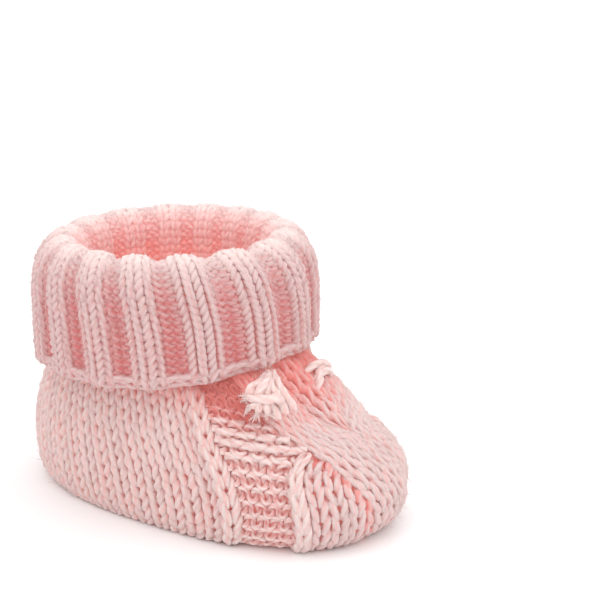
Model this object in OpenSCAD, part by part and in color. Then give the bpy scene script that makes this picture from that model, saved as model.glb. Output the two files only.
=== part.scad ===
// Hand-knitted baby bootie with a turned-down ribbed cuff and a cable over the toe.
// Millimetres. The toe points along +X, +Z is up, and the wearer's right side is -Y.
// The origin lies on the ground under the middle of the bootie.

/* [Foot] */
// Length of the foot over the yarn, heel to toe
foot_length = 100; // [85:1:120]
// Width of the foot at its widest
foot_width = 56; // [48:1:66]
// Height of the ankle line, where the leg begins
ankle_height = 43; // [38:0.5:48]
// Thickness of the knitted wall
wall = 3.2; // [2.6:0.1:4]

/* [Leg and cuff] */
// Distance of the leg's centre line behind the origin
leg_back = 11.5; // [9:0.5:14]
// Inner radius of the leg opening
leg_radius = 20.5; // [18:0.5:22]
// Outer radius of the turned-down cuff
cuff_radius = 35; // [34:0.5:38]
// Height of the top of the fold
fold_height = 66; // [63:0.2:70]
// Height of the cuff's lower edge at the back
cuff_edge_height = 35.6; // [34:0.2:40]
// How much higher the lower edge lies over the instep
cuff_edge_rise = 3.2; // [2.5:0.1:5]
// Thickness of the ribbed cuff
cuff_wall = 4; // [3:0.1:4.5]
// Number of ribs round the cuff
rib_count = 16; // [10:1:18]
// Depth of the furrows between the ribs
rib_depth = 1.6; // [0.5:0.1:2]

/* [Cable and seams] */
// How far the cable ropes stand out of the foot
rope_rise = 1.2; // [0.6:0.1:1.8]
// How far the chain stitches of the seams stand out
chain_rise = 1.5; // [0.8:0.1:2]
// Half the angle that a chain seam takes up
chain_angle = 3; // [2:0.5:4]
// Height of the knots over the ropes
knot_rise = 3.5; // [2:0.1:4.5]

/* [Hidden] */
eps = 0.002;             // step for the slope of the surface
long = foot_length / 100; // scale of the foot along X
wide = foot_width / 56;   // scale across
high = ankle_height / 43; // scale upwards

// ---- The foot's outer surface: a clamped cubic spline through six control rings.
// Each ring: front x, heel x, half width, height in front, beside and behind, squareness.
RINGS = [
    [42, -44, 23, 0, 0, 0, 2.4],           // edge of the sole
    [47, -49, 25.5, 0, 0, 0, 2.5],         // turn from the sole to the side
    [53, -51.5, 28, 13, 11, 10, 2.5],      // widest
    [42, -50.5, 26, 22, 26, 25, 2.3],      // top of the toe
    [29, -43.5, 24.5, 31.5, 36, 37, 2.1],  // instep
    [15, -37.5, 25.5, 41, 43, 44, 2.0],    // ankle line
];
KNOTS = [0, 0, 0, 0, 1/3, 2/3, 1, 1, 1, 1];

function ratio(a, b) = b == 0 ? 0 : a / b;
function basis(i, d, s) = d == 0
    ? ((s >= KNOTS[i] && s < KNOTS[i + 1]) || (s >= 1 && i == len(RINGS) - 1) ? 1 : 0)
    : ratio(s - KNOTS[i], KNOTS[i + d] - KNOTS[i]) * basis(i, d - 1, s)
    + ratio(KNOTS[i + d + 1] - s, KNOTS[i + d + 1] - KNOTS[i + 1]) * basis(i + 1, d - 1, s);

function power(c, n) = sign(c) * pow(abs(c), 2 / n);
function ring_point(r, phi) =
    let (c = cos(phi), fore = pow(max(c, 0), 1.5), aft = pow(max(-c, 0), 1.5))
    [long * ((r[0] + r[1]) / 2 + (r[0] - r[1]) / 2 * power(c, r[6])),
     wide * r[2] * power(sin(phi), r[6]),
     high * (r[4] + (r[3] - r[4]) * fore + (r[5] - r[4]) * aft)];

// Point at angle phi (0 toe, 180 heel, negative on the right) and height s (0 sole, 1 ankle).
function skin(phi, s) =
    let (t = min(max(s, 0), 1))
    [for (k = [0 : 2]) [for (i = [0 : len(RINGS) - 1]) basis(i, 3, t)]
        * [for (r = RINGS) ring_point(r, phi)[k]]];
function outward(phi, s) =
    let (lo = max(s - eps, 0), hi = min(s + eps, 1),
         across = skin(phi + 0.5, s) - skin(phi - 0.5, s),
         n = cross(across, skin(phi, hi) - skin(phi, lo)))
    n / norm(n);
function shell_point(phi, s, out) =
    let (p = skin(phi, s) + out * outward(phi, s))
    [p.x, p.y, max(p.z, 0)];

// ---- Borders of the panels: angle from the toe against height s.
chain_line = [[0, 65], [0.3, 66.5], [0.65, 67], [0.79, 64], [0.89, 58.5], [1, 54]];
toe_line = [[0, 38], [0.15, 39.5], [0.31, 41.5], [0.44, 41.5], [0.53, 39], [0.6, 34],
    [0.67, 25.5], [0.76, 33], [0.84, 38.5], [0.93, 42], [1, 44]];
crossing_line = [[0, 2], [0.15, 4], [0.29, 8], [0.44, 15.5], [0.53, 19.5], [0.62, 22],
    [0.67, 25.5], [0.76, 33], [0.84, 38.5], [0.93, 42], [1, 44]];
rope_line = [[0, -27], [0.2, -24], [0.35, -19], [0.5, -13], [0.62, -7], [0.7, -2],
    [0.76, 5], [0.82, 10.5], [1, 11.5]];
far_line = [[0, -27], [0.7, -2], [0.76, -6], [0.82, -10.5], [1, -11.5]];
crossing_s = 0.66;   // height where the toe panel ends in a point
centre_s = 0.71;     // height where the centre rope goes under the crossing rope
sole_turn = 0.25;    // below this height the ropes and seams flatten towards the sole

function chain_inner(s) = -lookup(s, chain_line) - chain_angle;
function chain_outer(s) = -lookup(s, chain_line) + chain_angle;
function toe_inner(s) = -lookup(s, toe_line) - chain_angle;
function toe_outer(s) = -lookup(s, toe_line) + (s < crossing_s ? chain_angle * (1 - s) : 0);
function purl_front(s) = s < crossing_s ? toe_inner(s) : -lookup(s, toe_line);
function crossing(s) = -lookup(s, crossing_line);
function rope_far(s) = -lookup(s, rope_line);
function centre_far(s) = -lookup(s, far_line);
function heel_seam_edge(s) = -180 + chain_angle;

// ---- Solids
function quad(a, b, c, d) = [[a, b, c], [a, c, d]];
// Faces between n rows of m points; closed says if the rows join end to end.
function sheet_faces(n, m, from, flip) = [
    for (i = [0 : n - 2], j = [0 : m - 2])
        let (a = from + i * m + j)
        each flip ? quad(a, a + m, a + m + 1, a + 1) : quad(a, a + 1, a + m + 1, a + m)];
function rim_faces(loop, gap) = [
    for (i = [0 : len(loop) - 1])
        let (a = loop[i], b = loop[(i + 1) % len(loop)])
        each quad(a, b, b + gap, a + gap)];
function rim(n, m) = concat(
    [for (j = [0 : m - 2]) j],
    [for (i = [0 : n - 2]) i * m + m - 1],
    [for (j = [m - 1 : -1 : 1]) (n - 1) * m + j],
    [for (i = [n - 1 : -1 : 1]) i * m]);

// A closed piece of the foot's wall between the angles a(s) and b(s), from height s0 to s1.
// It reaches from depth out0 to out1, and crown raises its middle: along its whole length,
// apart from where it turns under the sole, or in both directions on a knob.
function dome(u) = pow(max(sin(180 * u), 0), 0.7);
module patch(a, b, s0, s1, rows, cols, out1 = 0, out0 = -wall, crown = 0, knob = false) {
    spots = [for (i = [0 : rows], j = [0 : cols])
        let (s = s0 + (s1 - s0) * i / rows, u = j / cols)
        [a(s) + (b(s) - a(s)) * u, s,
             dome(u) * (knob ? dome(i / rows) : min(s / sole_turn, 1))]];
    top = [for (p = spots) shell_point(p[0], p[1], out1 + crown * p[2])];
    under = [for (p = spots) shell_point(p[0], p[1], out0)];
    n = rows + 1;
    m = cols + 1;
    polyhedron(concat(top, under), concat(
        sheet_faces(n, m, 0, true),
        sheet_faces(n, m, n * m, false),
        rim_faces(rim(n, m), n * m)));
}

// A closed ring whose section is given for each angle round the leg.
module ring(section, steps) {
    rows = [for (i = [0 : steps - 1]) section(360 * i / steps)];
    m = len(rows[0]);
    faces = [for (i = [0 : steps - 1], j = [0 : m - 1])
        let (a = i * m + j, b = i * m + (j + 1) % m, k = (i + 1) % steps)
        each quad(a, k * m + j, k * m + (j + 1) % m, b)];
    polyhedron([for (r = rows) each r], faces);
}

function round_leg(theta, r, z) = [r * cos(theta) - leg_back, r * sin(theta), z];
function lower_edge(theta) = cuff_edge_height + cuff_edge_rise * pow(max(cos(theta), 0), 3);
function fold_top(theta) = fold_height + fold_tilt * cos(theta - fold_peak);
function furrow(theta) = rib_depth * (1 - cos(rib_count * theta)) / 2;

// ---- The sub-parts
fold_tilt = 0.5;    // how much higher the fold stands on one side
fold_peak = 50;     // the angle of that side
edge_band = 2.4;    // height of the cast-off edge
leg_bend = 50;      // height where the ankle has narrowed to the leg
knot_near = 26;     // a knot's angles from the toe, and its heights up the foot
knot_far = 43;
knot_low = 0.8;
knot_high = 0.91;
knot_gap = 0.1;     // space between a knot and its rope
knot_base = 0.3;    // thickness of a knot at its rim
leg_join = 60;      // height where the leg tube turns into the fold
fold_out = 5;       // height below the top where the fold reaches the flap

module sole() color("mistyrose")
    linear_extrude(wall * high) polygon([for (phi = [-180 : 5 : 175])
        [skin(phi, 0).x, skin(phi, 0).y]]);

module right_heel_panel() color("pink")
    patch(function(s) heel_seam_edge(s), function(s) chain_inner(s), 0, 1, 16, 14);

module left_heel_panel() mirror([0, 1, 0]) right_heel_panel();

module heel_seam() color("lightpink")
    patch(function(s) -180 - chain_angle, function(s) -180 + chain_angle, 0, 1, 16, 2);

module right_chain_seam() color("lavenderblush")
    patch(function(s) chain_inner(s), function(s) chain_outer(s), 0, 1, 20, 4, crown = chain_rise);

module left_chain_seam() mirror([0, 1, 0]) right_chain_seam();

module right_purl_panel() color("lightpink")
    patch(function(s) chain_outer(s), function(s) purl_front(s), 0, 1, 20, 6);

module left_purl_panel() mirror([0, 1, 0]) right_purl_panel();

module right_toe_chain() color("lavenderblush")
    patch(function(s) toe_inner(s), function(s) toe_outer(s), 0, crossing_s, 14, 4, crown = chain_rise);

module left_toe_chain() mirror([0, 1, 0]) right_toe_chain();

module right_toe_panel() color("pink")
    patch(function(s) toe_outer(s), function(s) crossing(s), 0, crossing_s, 14, 6);

module crossing_rope() color("mistyrose")
    patch(function(s) crossing(s), function(s) rope_far(s), 0, 1, 20, 6, crown = rope_rise);

module centre_rope() color("pink")
    patch(function(s) rope_far(s), function(s) centre_far(s), centre_s, 1, 6, 4, crown = rope_rise);

module far_rope() color("mistyrose")
    patch(function(s) s < centre_s ? rope_far(s) : centre_far(s),
        function(s) s < crossing_s ? -toe_outer(s) : lookup(s, toe_line), 0, 1, 20, 6, crown = rope_rise);

module leg_tube() color("salmon") ring(function(theta)
    let (foot = shell_point(theta, 1, 0), inner = shell_point(theta, 1, -wall), r = leg_radius + wall)
    [foot, round_leg(theta, r + 0.8, leg_bend), round_leg(theta, r, leg_join),
     round_leg(theta, leg_radius + furrow(theta) / 2, leg_join),
     round_leg(theta, leg_radius + 0.4 + furrow(theta) / 2, leg_bend), inner], 84);

module turned_cuff() color("pink") ring(function(theta)
    let (top = fold_top(theta), low = lower_edge(theta) + edge_band, out = cuff_radius - furrow(theta))
    [round_leg(theta, leg_radius + wall, leg_join),
     round_leg(theta, cuff_radius - cuff_wall - 2, top - fold_out),
     round_leg(theta, cuff_radius - cuff_wall, (top + low) / 2),
     round_leg(theta, cuff_radius - cuff_wall, low),
     round_leg(theta, out, low),
     round_leg(theta, out + 0.2, (top + low) / 2),
     round_leg(theta, out - 0.3, top - 9),
     round_leg(theta, out - 2.6, top - fold_out + 0.6),
     round_leg(theta, out - 5.6, top - 1.6),
     round_leg(theta, leg_radius + 5.4 - furrow(theta) / 3, top),
     round_leg(theta, leg_radius + 1.6, top - 1.7),
     round_leg(theta, leg_radius + furrow(theta) / 2, leg_join)], 140);

module cuff_edge() color("lavenderblush") ring(function(theta)
    let (low = lower_edge(theta), mid = cuff_radius - cuff_wall / 2)
    [round_leg(theta, mid - cuff_wall / 2, low + edge_band),
     round_leg(theta, mid - cuff_wall / 2, low + 0.8),
     round_leg(theta, mid - cuff_wall / 4, low),
     round_leg(theta, mid + cuff_wall / 4, low),
     round_leg(theta, mid + cuff_wall / 2 + 0.3, low + 1),
     round_leg(theta, mid + cuff_wall / 2 - furrow(theta), low + edge_band)], 140);

module right_knot() color("white")
    patch(function(s) -knot_far, function(s) -knot_near, knot_low, knot_high, 8, 8,
        out1 = rope_rise + knot_gap + knot_base, out0 = rope_rise + knot_gap,
        crown = knot_rise, knob = true);

module left_knot() mirror([0, 1, 0]) right_knot();

sole();
right_heel_panel();
left_heel_panel();
heel_seam();
right_chain_seam();
left_chain_seam();
right_purl_panel();
left_purl_panel();
right_toe_chain();
left_toe_chain();
right_toe_panel();
crossing_rope();
centre_rope();
far_rope();
leg_tube();
turned_cuff();
cuff_edge();
right_knot();
left_knot();
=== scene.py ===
# %% [markdown]
# # A hand-knitted baby bootie, stitch by stitch
# The bootie is knitted in soft double-knitting yarn: smooth panels, a bumpy panel, a cable
# over the toe, raised chain seams, and a ribbed cuff that is turned down over itself.
# Every stitch here is a real loop of yarn. A guide surface gives the shape, and one
# Geometry Nodes tree lays rows of loops on it. All sizes are in metres.

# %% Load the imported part
import math

import bpy
import mathutils
import numpy as np
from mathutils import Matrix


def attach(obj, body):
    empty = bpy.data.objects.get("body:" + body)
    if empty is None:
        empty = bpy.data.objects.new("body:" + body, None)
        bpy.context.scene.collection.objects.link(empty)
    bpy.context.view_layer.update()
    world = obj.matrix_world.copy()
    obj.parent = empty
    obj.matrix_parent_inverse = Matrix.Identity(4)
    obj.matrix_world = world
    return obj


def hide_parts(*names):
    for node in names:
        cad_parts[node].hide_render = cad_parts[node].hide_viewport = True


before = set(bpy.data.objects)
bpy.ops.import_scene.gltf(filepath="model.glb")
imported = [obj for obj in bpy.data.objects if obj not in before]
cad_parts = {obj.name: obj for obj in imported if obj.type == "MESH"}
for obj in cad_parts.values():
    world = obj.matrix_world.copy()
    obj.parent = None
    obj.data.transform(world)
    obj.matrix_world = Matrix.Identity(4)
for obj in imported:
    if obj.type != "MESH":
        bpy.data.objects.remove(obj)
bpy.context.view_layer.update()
MM = 0.001
print("the frame holds", len(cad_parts), "nodes")

# %% [markdown]
# ## The foot's shape
# The foot is a soft closed shoe. It could be sculpted, but then no stitch would know its
# place. So the same six control rings as in the CAD part are blended by a spline: an angle
# round the foot and a height up its side give one point on its skin.

# %% The skin of the foot
# Each ring: front x, heel x, half width, height in front, beside and behind, squareness.
RINGS = [
    (42, -44, 23, 0, 0, 0, 2.4),
    (47, -49, 25.5, 0, 0, 0, 2.5),
    (53, -51.5, 28, 13, 11, 10, 2.5),
    (42, -50.5, 26, 22, 26, 25, 2.3),
    (29, -43.5, 24.5, 31.5, 36, 37, 2.1),
    (15, -37.5, 25.5, 41, 43, 44, 2.0),
]
SPLINE_KNOTS = (0, 0, 0, 0, 1 / 3, 2 / 3, 1, 1, 1, 1)


def basis(i, degree, s):
    """The weight of control ring i at height s."""
    k = SPLINE_KNOTS
    if degree == 0:
        last = (i == len(RINGS) - 1) & (s >= 1)
        return np.where(((s >= k[i]) & (s < k[i + 1])) | last, 1.0, 0.0)
    rise, fall = k[i + degree] - k[i], k[i + degree + 1] - k[i + 1]
    left = (s - k[i]) / rise * basis(i, degree - 1, s) if rise else 0
    right = (k[i + degree + 1] - s) / fall * basis(i + 1, degree - 1, s) if fall else 0
    return left + right


def skin(phi, s):
    """Points at angle phi in degrees (0 toe, 180 heel, negative on the right) and height s."""
    phi, s = np.broadcast_arrays(np.radians(phi), np.clip(s, 0, 1))
    c, d = np.cos(phi), np.sin(phi)
    fore, aft = np.maximum(c, 0) ** 1.5, np.maximum(-c, 0) ** 1.5
    total = np.zeros(phi.shape + (3,))
    for i, (front, heel, half, z_front, z_side, z_heel, square) in enumerate(RINGS):
        x = (front + heel) / 2 + (front - heel) / 2 * np.sign(c) * np.abs(c) ** (2 / square)
        y = half * np.sign(d) * np.abs(d) ** (2 / square)
        z = z_side + (z_front - z_side) * fore + (z_heel - z_side) * aft
        total += basis(i, 3, s)[..., None] * np.stack([x, y, z], -1)
    return total * MM


def outward(phi, s):
    """The direction that points out of the skin."""
    step, turn = 0.002, 0.5
    across = skin(phi + turn, s) - skin(phi - turn, s)
    up = skin(phi, np.minimum(s + step, 1)) - skin(phi, np.maximum(s - step, 0))
    n = np.cross(across, up)
    return n / np.linalg.norm(n, axis=-1, keepdims=True)


print("the ankle line is", round(float(skin(180.0, 1.0)[2]) / MM, 1), "mm high at the heel")

# %% [markdown]
# ## The guide surfaces
# A knitter thinks in wales, the columns of stitches, and rows. A guide is a plain grid
# whose map runs from 0 to 1 across its wales and up its rows, so that a stitch's number
# is also its place. It carries the outward direction, how far the fabric is drawn
# together, and how much shade is painted on its yarn, in furrows, under the cuff and
# along gathered edges; where that value is below zero, it is a painted highlight on the fold.
# Guides are thrown away once the yarn lies.

# %% Make a guide mesh
def guide_mesh(name, points, normals, snug, hollow):
    """A grid of (rows + 1, columns + 1) points with the map and values that stitches read."""
    n, m = points.shape[:2]
    spots = np.arange(n * m).reshape(n, m)
    quads = np.stack([spots[:-1, :-1], spots[:-1, 1:], spots[1:, 1:], spots[1:, :-1]], -1)
    mesh = bpy.data.meshes.new(name)
    mesh.from_pydata(points.reshape(-1, 3).tolist(), [], quads.reshape(-1, 4).tolist())
    u, v = np.meshgrid(np.linspace(0, 1, m), np.linspace(0, 1, n))
    layer = mesh.uv_layers.new(name="knit")
    corners = np.zeros(len(mesh.loops), np.int32)
    mesh.loops.foreach_get("vertex_index", corners)
    layer.data.foreach_set("uv", np.stack([u, v], -1).reshape(-1, 2)[corners].ravel())
    for label, kind, values in (("outward", "FLOAT_VECTOR", normals),
                                ("snug", "FLOAT", snug), ("hollow", "FLOAT", hollow)):
        attribute = mesh.attributes.new(label, kind, "POINT")
        field = "vector" if kind == "FLOAT_VECTOR" else "value"
        attribute.data.foreach_set(field, np.ascontiguousarray(values, np.float32).ravel())
    return mesh


def even_out(values, lengths, count):
    """Picks count values at equal distances along a line whose running length is known."""
    return np.interp(np.linspace(0, lengths[-1], count), lengths, values)


def run_length(points):
    """The running length along a line of points."""
    steps = np.linalg.norm(np.diff(points, axis=0), axis=1)
    return np.concatenate([[0], np.cumsum(steps)])


SOLE_TURN = 0.25                         # below this height, raised parts flatten to the sole
LEAST_SNUG = 0.5                         # how far the thinnest stitches are drawn together
GATHER, TUCK = 3.0, 1.6 * MM             # how far and how deep a gathered edge is tucked
EDGE_SHADE = 6.0                         # how far the shade of that edge reaches, in degrees
SHADE_START, SHADE_MOST = 0.74, 1.6      # the cuff closes off the light above this height
FINE = 161                               # points on a line whose length is measured


def panel_guide(name, near, far, low, high, full_width, depth, crown=0, lift=0, tilt=0,
                crowd=0, straight=0, roll=0, shade=1.0):
    """A guide on the foot between the angles near(s) and far(s), from height low to high.
    Where it is narrower than full_width, the stitches are drawn together. depth is how far
    the yarn's middle lies under the skin, crown raises the middle of the panel, lift raises
    all of it, roll raises its near edge and lowers its far one, tilt slants its rows, and
    crowd draws them together towards the sole. shade is how dark the cuff makes its top.
    With straight, an angle in degrees, the wales keep that width between them and are
    gathered out of sight where they meet the far edge."""
    n, m, fine = 48, 40, 81
    s_line = np.linspace(low, high, FINE)
    middle = skin((near(s_line) + far(s_line)) / 2, s_line)
    lengths = run_length(middle)
    share = np.linspace(0, 1, n + 1)
    share = share + crowd * (share ** 2 - share)
    s_rows = np.interp(share * lengths[-1], lengths, s_line)
    points, normals, widths, hollow = [], [], [], []
    u = np.linspace(0, 1, fine)
    for s in s_rows:
        slope = tilt * np.sin(math.pi * (s - low) / (high - low)) ** 0.5 if tilt else 0
        s_across = np.clip(s + slope * (u - 0.5), low, high)
        phi = near(s_across) + (far(s_across) - near(s_across)) * u
        lengths = run_length(skin(phi, s_across))
        phi_even, s_even = even_out(phi, lengths, m + 1), even_out(s_across, lengths, m + 1)
        under = edge = 0
        if straight:
            free = near(s) + straight * np.linspace(0, 1, m + 1)
            under = np.clip((free - far(s)) / GATHER, 0, 1)
            phi_even = np.minimum(free, far(s) + GATHER * under)
            edge = np.clip(1 - (far(s) - free) / EDGE_SHADE, 0, 1)
        n_even = outward(phi_even, s_even)
        dome = np.sin(math.pi * np.linspace(0, 1, m + 1)) ** 0.7
        lean = roll * np.linspace(1, -1, m + 1)
        rise = (lift + lean + crown * dome) * np.minimum(s_even / SOLE_TURN, 1)
        rise = rise - depth - under * TUCK
        points.append(skin(phi_even, s_even) + n_even * rise[:, None])
        normals.append(n_even)
        widths.append(lengths[-1])
        closed_off = np.clip((s_even - SHADE_START) / (1 - SHADE_START), 0, 1)
        hollow.append(closed_off * SHADE_MOST * shade + edge)
    snug = np.clip(np.array(widths) / full_width, LEAST_SNUG, 1.0)
    snug = np.repeat(snug[:, None], m + 1, 1)
    height = run_length(np.array(points)[:, m // 2])[-1]
    print(f"{name}: {height / MM:.0f} mm high, up to {max(widths) / MM:.0f} mm wide")
    return guide_mesh(name, np.array(points), np.array(normals), snug, np.array(hollow))


# %% [markdown]
# ## A wire for node maths
# Node trees are easier to read as sums than as links. A Wire wraps a socket, so that
# Python's own signs add Math nodes, and one method adds any other node.

# %% The Wire and the Graph
class Wire:
    """An output socket that can be used in an expression on numbers."""

    def __init__(self, graph, socket):
        self.graph, self.socket = graph, socket

    def of(self, operation, *others):
        """A Math node on this wire and others, such as wire.of("SINE")."""
        return self.graph.add("ShaderNodeMath", {"operation": operation}, self, *others)

    def back(self, operation, other):
        """The same with this wire second, for a number that stands before the sign."""
        return self.graph.add("ShaderNodeMath", {"operation": operation}, other, self)

    def out(self, name):
        """Another output of the same node."""
        return Wire(self.graph, self.socket.node.outputs[name])

    def __add__(self, other):
        return self.of("ADD", other)

    def __radd__(self, other):
        return self.back("ADD", other)

    def __sub__(self, other):
        return self.of("SUBTRACT", other)

    def __rsub__(self, other):
        return self.back("SUBTRACT", other)

    def __mul__(self, other):
        return self.of("MULTIPLY", other)

    def __rmul__(self, other):
        return self.back("MULTIPLY", other)

    def __truediv__(self, other):
        return self.of("DIVIDE", other)

    def __pow__(self, other):
        return self.of("POWER", other)

    def clamp(self, low=0.0, high=1.0):
        """Keeps the number between low and high."""
        return self.of("MAXIMUM", low).of("MINIMUM", high)


class Graph:
    """A node tree that adds nodes in one call."""

    def __init__(self, tree):
        self.tree = tree

    def feed(self, socket, value):
        """Links a wire to a socket, or sets the socket to a plain value."""
        if isinstance(value, Wire):
            self.tree.links.new(value.socket, socket)
        elif value is not None:
            socket.default_value = value

    def add(self, kind, settings=None, *values, **named):
        """Adds a node: its settings first, then its sockets in order, then by name."""
        node = self.tree.nodes.new(kind)
        for key, value in (settings or {}).items():
            setattr(node, key, value)
        ready = [s for s in node.inputs if s.enabled]
        for socket, value in zip(ready, values):
            self.feed(socket, value)
        for label, value in named.items():
            self.feed(next(s for s in ready if s.name == label.replace("_", " ")), value)
        shown = [s for s in node.outputs if s.enabled]
        return Wire(self, shown[0]) if shown else node

    def vector(self, operation, *values):
        """A Vector Math node."""
        return self.add("ShaderNodeVectorMath", {"operation": operation}, *values)

    def pack(self, x, y, z):
        """One vector out of three numbers."""
        return self.add("ShaderNodeCombineXYZ", {}, x, y, z)


print("node maths is ready")

# %% [markdown]
# ## The knitting tree
# A stitch is one loop: the yarn rises from behind, comes to the front up its left leg,
# goes back over its head and down its right leg. Three waves draw it. Across, the yarn
# moves on and swings a little, which gives the legs their V. Up, one slow wave makes the
# loop. Through the fabric, a wave of twice the speed weaves it with the rows above and
# below. A purl stitch is the same loop seen from the other side. In ribbing, groups of
# both alternate. The tree makes a point for each step of yarn, finds its place on the
# guide, and sweeps a section with three lobes, one for each ply, along each row.

# %% Inputs of the knitting tree
FUZZ = 150000.0      # loose fibres on a square metre of yarn
KNIT_INPUTS = (
    ("Wales", "Int", 10), ("Rows", "Int", 10), ("Steps", "Int", 16), ("Sides", "Int", 8),
    ("Yarn", "Float", 0.002), ("Depth", "Float", 0.001), ("Lean", "Float", 0.18),
    ("Loop", "Float", 0.75), ("Face", "Float", 1.0), ("Rib", "Float", 0.0),
    ("First", "Float", 0.0), ("Closed", "Int", 0), ("Margin", "Float", 0.3),
    ("Swell", "Float", 0.3), ("Wobble", "Float", 0.06), ("Seed", "Float", 0.0),
    ("Fuzz", "Float", FUZZ), ("Finish", "Material", None),
)
PLIES = 3            # strands twisted into one yarn
PLY_DEPTH = 0.13     # how far the plies stand out, in yarn radii
PLY_TURN = 0.011     # length of one full turn of the plies


def sweep_yarn(g, curves, thick, sides):
    """Sweeps a section with a lobe for each ply along curves, turning as it goes."""
    length = g.add("GeometryNodeSplineParameter").out("Length")
    curves = g.add("GeometryNodeStoreNamedAttribute", {"data_type": "FLOAT"}, curves,
                   Name="along", Value=length)
    curves = g.add("GeometryNodeSetCurveTilt", {}, curves, Tilt=length * (2 * math.pi / PLY_TURN))
    section = g.add("GeometryNodeCurvePrimitiveCircle", {}, sides, Radius=1.0)
    rim = g.add("ShaderNodeSeparateXYZ", {}, g.add("GeometryNodeInputPosition"))
    angle = rim.out("Y").of("ARCTAN2", rim)
    section = g.add("GeometryNodeStoreNamedAttribute", {"data_type": "FLOAT"}, section,
                    Name="around", Value=angle)
    lobes = (angle * PLIES).of("COSINE") * PLY_DEPTH + 1
    lobed = g.add("ShaderNodeVectorMath", {"operation": "SCALE"},
                  g.add("GeometryNodeInputPosition"), Scale=lobes)
    section = g.add("GeometryNodeSetPosition", {}, section, Position=lobed)
    return g.add("GeometryNodeCurveToMesh", {}, curves, section, thick, True)


print("a yarn has", PLIES, "plies, which turn once in", PLY_TURN / MM, "mm")

# %% [markdown]
# ## Loose fibres
# Baby yarn is brushed soft, so short fibres stand off it everywhere. A hair system could
# grow them, but they must end as mesh. So one bent fibre of a few faces is set on points
# scattered over the yarn, each turned and sized by chance. They keep to the proud parts,
# where they show, and leave out the sole, which is pressed flat.

# %% Grow the fibres
FIBRE_LENGTH, FIBRE_THICK = 1.4 * MM, 0.07 * MM
FIBRE_ROOT = 0.15 * MM                   # how deep a fibre starts inside the yarn
FIBRE_CLEAR = 2.2 * MM                   # no fibres below this height
FIBRE_PROUD = 0.1                        # no fibres where the yarn lies deeper than this
FIBRE_TURN = 1.1                         # how far a fibre leans over, in radians at most


def fuzz_over(g, yarn, density, finish):
    """Adds short loose fibres that stand off the proud parts of the yarn."""
    proud = g.add("GeometryNodeInputNamedAttribute", {"data_type": "FLOAT"}, "proud")
    place = g.add("ShaderNodeSeparateXYZ", {}, g.add("GeometryNodeInputPosition"))
    clear = place.out("Z").of("GREATER_THAN", FIBRE_CLEAR)
    clear = clear * proud.of("GREATER_THAN", FIBRE_PROUD)
    spots = g.add("GeometryNodeDistributePointsOnFaces", {}, yarn, Selection=clear,
                  Density=density, Seed=3)
    bend = g.add("GeometryNodeCurveQuadraticBezier", {}, 2, (0, 0, -FIBRE_ROOT),
                 (0, 0, FIBRE_LENGTH * 0.5), (FIBRE_LENGTH * 0.6, 0, FIBRE_LENGTH))
    section = g.add("GeometryNodeCurvePrimitiveCircle", {}, 3, Radius=FIBRE_THICK / 2)
    fibre = g.add("GeometryNodeCurveToMesh", {}, bend, section, 1.0, True)
    fibre = g.add("GeometryNodeSetMaterial", {}, fibre, Material=finish)
    size = g.add("FunctionNodeRandomValue", {"data_type": "FLOAT_VECTOR"},
                 (0.6, 0.6, 0.6), (1.3, 1.3, 1.3))
    fibres = g.add("GeometryNodeInstanceOnPoints", {}, spots, Instance=fibre,
                   Rotation=spots.out("Rotation"), Scale=size)
    turn = g.add("FunctionNodeRandomValue", {"data_type": "FLOAT_VECTOR"},
                 (-FIBRE_TURN, -FIBRE_TURN, -math.pi), (FIBRE_TURN, FIBRE_TURN, math.pi), Seed=5)
    fibres = g.add("GeometryNodeRotateInstances", {}, fibres, Rotation=turn)
    both = g.add("GeometryNodeJoinGeometry", {},
                 g.add("GeometryNodeSetMaterial", {}, yarn, Material=finish))
    g.tree.links.new(fibres.socket, both.socket.node.inputs[0])
    return both


print("a fibre is", FIBRE_LENGTH / MM, "mm long")

# %% [markdown]
# ## From points to stitches
# Each row is one long yarn, as on the needles. So the tree makes all the points at once,
# works out from a point's number which row and stitch it belongs to, moves it to its place
# on the guide, and joins the points of a row into one curve.

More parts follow.
